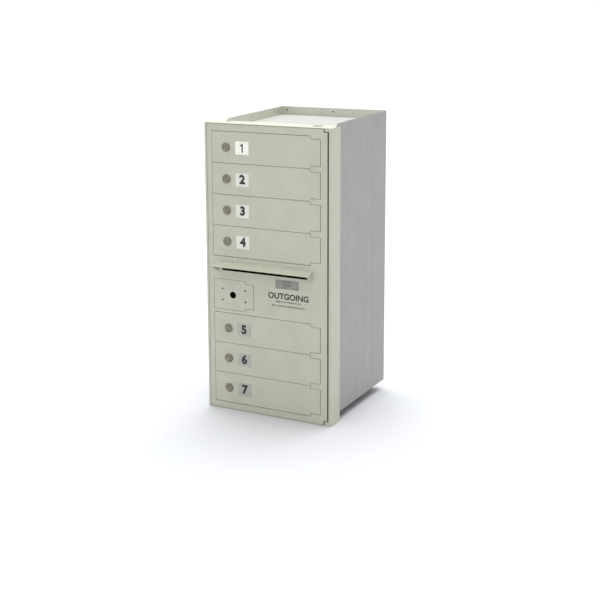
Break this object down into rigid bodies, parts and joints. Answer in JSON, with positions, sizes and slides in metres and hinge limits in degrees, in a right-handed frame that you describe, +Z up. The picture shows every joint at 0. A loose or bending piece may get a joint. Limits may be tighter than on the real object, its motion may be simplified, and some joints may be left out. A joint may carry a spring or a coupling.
{
  "type": "cluster mailbox unit",
  "caption": "Front-loading mailbox column: hinged master door with numbered tenant doors, cam locks, hooded letter slot and small lock door, on a bare aluminium body with an open top tray.",
  "frame": {"origin": "under the middle of the whole object, level with the collar's lower edge", "axes": "+Z up, +X to the right of someone facing the doors, -Y out of the front"},
  "size_m": [0.39, 0.41, 0.841],
  "materials": {
    "painted_front": "satin grey-green powder coat",
    "bare_aluminium": "mill finish with fine vertical grain",
    "lock_metal": "worn satin zinc",
    "zinc_steel": "zinc plated",
    "rivet_metal": "bright",
    "number_foil": "satin foil sticker",
    "label_foil": "silver foil",
    "plug_plastic": "grey moulded"
  },
  "bodies": {
    "cabinet": {"left_side_panel": "bare_aluminium", "right_side_panel": "bare_aluminium", "back_panel": "bare_aluminium", "top_panel": "bare_aluminium", "bottom_panel": "bare_aluminium", "cabinet_rivets": "rivet_metal", "frame_left_stile": "painted_front", "frame_right_stile": "painted_front", "frame_top_rail": "painted_front", "frame_bottom_rail": "painted_front", "top_rail_plug": "plug_plastic", "master_hinge_tabs": "painted_front", "master_hinge_pins": "zinc_steel", "latch_strikes": "zinc_steel", "outgoing_ceiling": "bare_aluminium", "outgoing_floor": "bare_aluminium", "shelf_under_door_1": "bare_aluminium", "shelf_under_door_2": "bare_aluminium", "shelf_under_door_3": "bare_aluminium", "shelf_under_door_5": "bare_aluminium", "shelf_under_door_6": "bare_aluminium"},
    "master_door": {"master_door_panel": "painted_front", "hinge_brackets": "zinc_steel", "door_hinge_pins": "zinc_steel", "strike_strips": "zinc_steel", "slot_hood": "painted_front", "slot_baffle": "zinc_steel", "baffle_rivets": "rivet_metal", "latch_guides": "zinc_steel", "outgoing_label": "label_foil"},
    "latch": {"latch_bar": "zinc_steel"},
    "lock_door": {"lock_door_panel": "painted_front"},
    "door_1": {"door_panel_1": "painted_front", "lock_cylinder_1": "lock_metal", "number_plate_1": "number_foil"},
    "cam_1": {"lock_cam_1": "zinc_steel"},
    "door_2": {"door_panel_2": "painted_front", "lock_cylinder_2": "lock_metal", "number_plate_2": "number_foil"},
    "cam_2": {"lock_cam_2": "zinc_steel"},
    "door_3": {"door_panel_3": "painted_front", "lock_cylinder_3": "lock_metal", "number_plate_3": "number_foil"},
    "cam_3": {"lock_cam_3": "zinc_steel"},
    "door_4": {"door_panel_4": "painted_front", "lock_cylinder_4": "lock_metal", "number_plate_4": "number_foil"},
    "cam_4": {"lock_cam_4": "zinc_steel"},
    "door_5": {"door_panel_5": "painted_front", "lock_cylinder_5": "lock_metal", "number_plate_5": "number_foil"},
    "cam_5": {"lock_cam_5": "zinc_steel"},
    "door_6": {"door_panel_6": "painted_front", "lock_cylinder_6": "lock_metal", "number_plate_6": "number_foil"},
    "cam_6": {"lock_cam_6": "zinc_steel"},
    "door_7": {"door_panel_7": "painted_front", "lock_cylinder_7": "lock_metal", "number_plate_7": "number_foil"},
    "cam_7": {"lock_cam_7": "zinc_steel"}
  },
  "joints": [
    {"name": "master_door_hinge", "type": "hinge", "parent": "cabinet", "child": "master_door", "pos_m": [0.1785, -0.1708, 0.416], "axis": [0, 0, 1], "range_deg": [0, 110]},
    {"name": "latch_slide", "type": "slide", "parent": "master_door", "child": "latch", "axis": [0, 0, 1], "range_m": [0, 0.012]},
    {"name": "lock_door_hinge", "type": "hinge", "parent": "master_door", "child": "lock_door", "pos_m": [-0.0546, -0.17, 0.3427], "axis": [0, 0, 1], "range_deg": [0, 100]},
    {"name": "door_1_hinge", "type": "hinge", "parent": "master_door", "child": "door_1", "pos_m": [0.1514, -0.17, 0.76485], "axis": [0, 0, 1], "range_deg": [0, 100]},
    {"name": "cam_1_turn", "type": "hinge", "parent": "door_1", "child": "cam_1", "pos_m": [-0.1262, -0.175, 0.76485], "axis": [0, 1, 0], "range_deg": [0, 90]},
    {"name": "door_2_hinge", "type": "hinge", "parent": "master_door", "child": "door_2", "pos_m": [0.1514, -0.17, 0.67595], "axis": [0, 0, 1], "range_deg": [0, 100]},
    {"name": "cam_2_turn", "type": "hinge", "parent": "door_2", "child": "cam_2", "pos_m": [-0.1262, -0.175, 0.67595], "axis": [0, 1, 0], "range_deg": [0, 90]},
    {"name": "door_3_hinge", "type": "hinge", "parent": "master_door", "child": "door_3", "pos_m": [0.1514, -0.17, 0.58705], "axis": [0, 0, 1], "range_deg": [0, 100]},
    {"name": "cam_3_turn", "type": "hinge", "parent": "door_3", "child": "cam_3", "pos_m": [-0.1262, -0.175, 0.58705], "axis": [0, 1, 0], "range_deg": [0, 90]},
    {"name": "door_4_hinge", "type": "hinge", "parent": "master_door", "child": "door_4", "pos_m": [0.1514, -0.17, 0.49815], "axis": [0, 0, 1], "range_deg": [0, 100]},
    {"name": "cam_4_turn", "type": "hinge", "parent": "door_4", "child": "cam_4", "pos_m": [-0.1262, -0.175, 0.49815], "axis": [0, 1, 0], "range_deg": [0, 90]},
    {"name": "door_5_hinge", "type": "hinge", "parent": "master_door", "child": "door_5", "pos_m": [0.1514, -0.17, 0.24425], "axis": [0, 0, 1], "range_deg": [0, 100]},
    {"name": "cam_5_turn", "type": "hinge", "parent": "door_5", "child": "cam_5", "pos_m": [-0.1262, -0.175, 0.24425], "axis": [0, 1, 0], "range_deg": [0, 90]},
    {"name": "door_6_hinge", "type": "hinge", "parent": "master_door", "child": "door_6", "pos_m": [0.1514, -0.17, 0.15535], "axis": [0, 0, 1], "range_deg": [0, 100]},
    {"name": "cam_6_turn", "type": "hinge", "parent": "door_6", "child": "cam_6", "pos_m": [-0.1262, -0.175, 0.15535], "axis": [0, 1, 0], "range_deg": [0, 90]},
    {"name": "door_7_hinge", "type": "hinge", "parent": "master_door", "child": "door_7", "pos_m": [0.1514, -0.17, 0.06645], "axis": [0, 0, 1], "range_deg": [0, 100]},
    {"name": "cam_7_turn", "type": "hinge", "parent": "door_7", "child": "cam_7", "pos_m": [-0.1262, -0.175, 0.06645], "axis": [0, 1, 0], "range_deg": [0, 90]}
  ]
}
